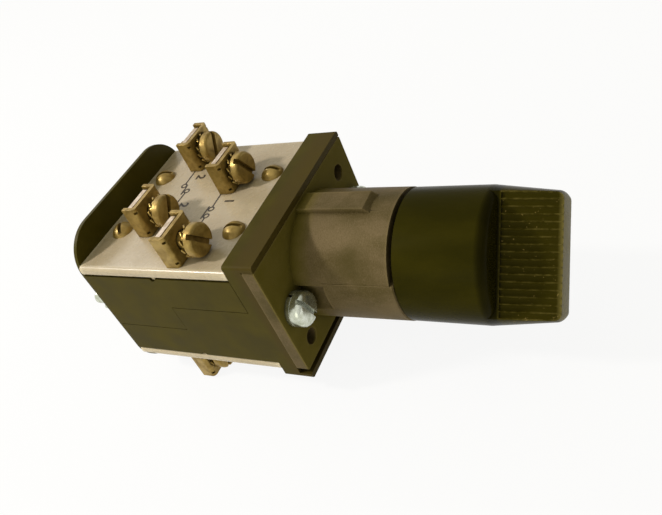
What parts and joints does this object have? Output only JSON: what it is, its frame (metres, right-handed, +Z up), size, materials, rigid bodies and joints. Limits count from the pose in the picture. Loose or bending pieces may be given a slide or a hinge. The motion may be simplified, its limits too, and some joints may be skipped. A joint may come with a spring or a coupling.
{
  "type": "selector switch",
  "caption": "Panel-mount rotary selector switch: fluted grip knob on a keyed metal barrel and flange, with a moulded contact block and screw terminals behind.",
  "frame": {"origin": "on the switch axis, at the front face of the mounting flange", "axes": "-Y to the front (knob), +Y to the rear, +Z up through the upper terminal plate, +X right as seen from the front"},
  "size_m": [0.0472, 0.1172, 0.0494],
  "materials": {
    "cast_metal": "dull as-cast metal, grey-brown",
    "knob_plastic": "glossy black moulding",
    "steel": "bright turned steel",
    "seal_rubber": "matt black rubber",
    "cam_plastic": "dark moulding",
    "housing_plastic": "matt black moulding",
    "cream_plastic": "cream moulding",
    "brass": "dulled brass",
    "black_sheet": "thin black sheet",
    "zinc": "zinc-plated steel"
  },
  "bodies": {
    "block": {"operator_body": "cast_metal", "shaft_seal": "seal_rubber", "friction_washer": "steel", "front_housing": "housing_plastic", "rear_housing": "housing_plastic", "terminal_plate_top": "cream_plastic", "terminal_plate_bottom": "cream_plastic", "plate_screws_top": "brass", "plate_screws_bottom": "brass", "contact_blades_top": "brass", "contact_blades_bottom": "brass", "saddle_clamps_top": "brass", "saddle_clamps_bottom": "brass", "terminal_lock_washers_top": "brass", "terminal_lock_washers_bottom": "brass", "terminal_screws_top": "brass", "terminal_screws_bottom": "brass", "return_spring_top": "steel", "return_spring_bottom": "steel", "rear_plate": "black_sheet", "through_screws": "zinc", "split_washers": "zinc", "rear_nuts": "zinc"},
    "knob": {"knob": "knob_plastic", "knob_set_screw": "steel", "operating_shaft": "steel", "face_cam": "cam_plastic", "cam_pin": "steel"},
    "plunger_top": {"plunger_top": "cam_plastic", "contact_bridges_top": "brass", "contact_springs_top": "steel"},
    "plunger_bottom": {"plunger_bottom": "cam_plastic", "contact_bridges_bottom": "brass", "contact_springs_bottom": "steel"}
  },
  "joints": [
    {"name": "knob_turn", "type": "hinge", "parent": "block", "child": "knob", "pos_m": [0, 0, 0], "axis": [0, -1, 0], "range_deg": [0, 90]},
    {"name": "plunger_top_slide", "type": "slide", "parent": "block", "child": "plunger_top", "axis": [0, 1, 0], "range_m": [0, 0.0024], "deforming": ["return_spring_top"]},
    {"name": "plunger_bottom_slide", "type": "slide", "parent": "block", "child": "plunger_bottom", "axis": [0, 1, 0], "range_m": [-0.0024, 0], "deforming": ["return_spring_bottom"]}
  ],
  "couplings": [
    {"joint": "plunger_top_slide", "follows": "knob_turn", "m_per_rad": 0.0015278},
    {"joint": "plunger_bottom_slide", "follows": "knob_turn", "m_per_rad": -0.0015278}
  ]
}
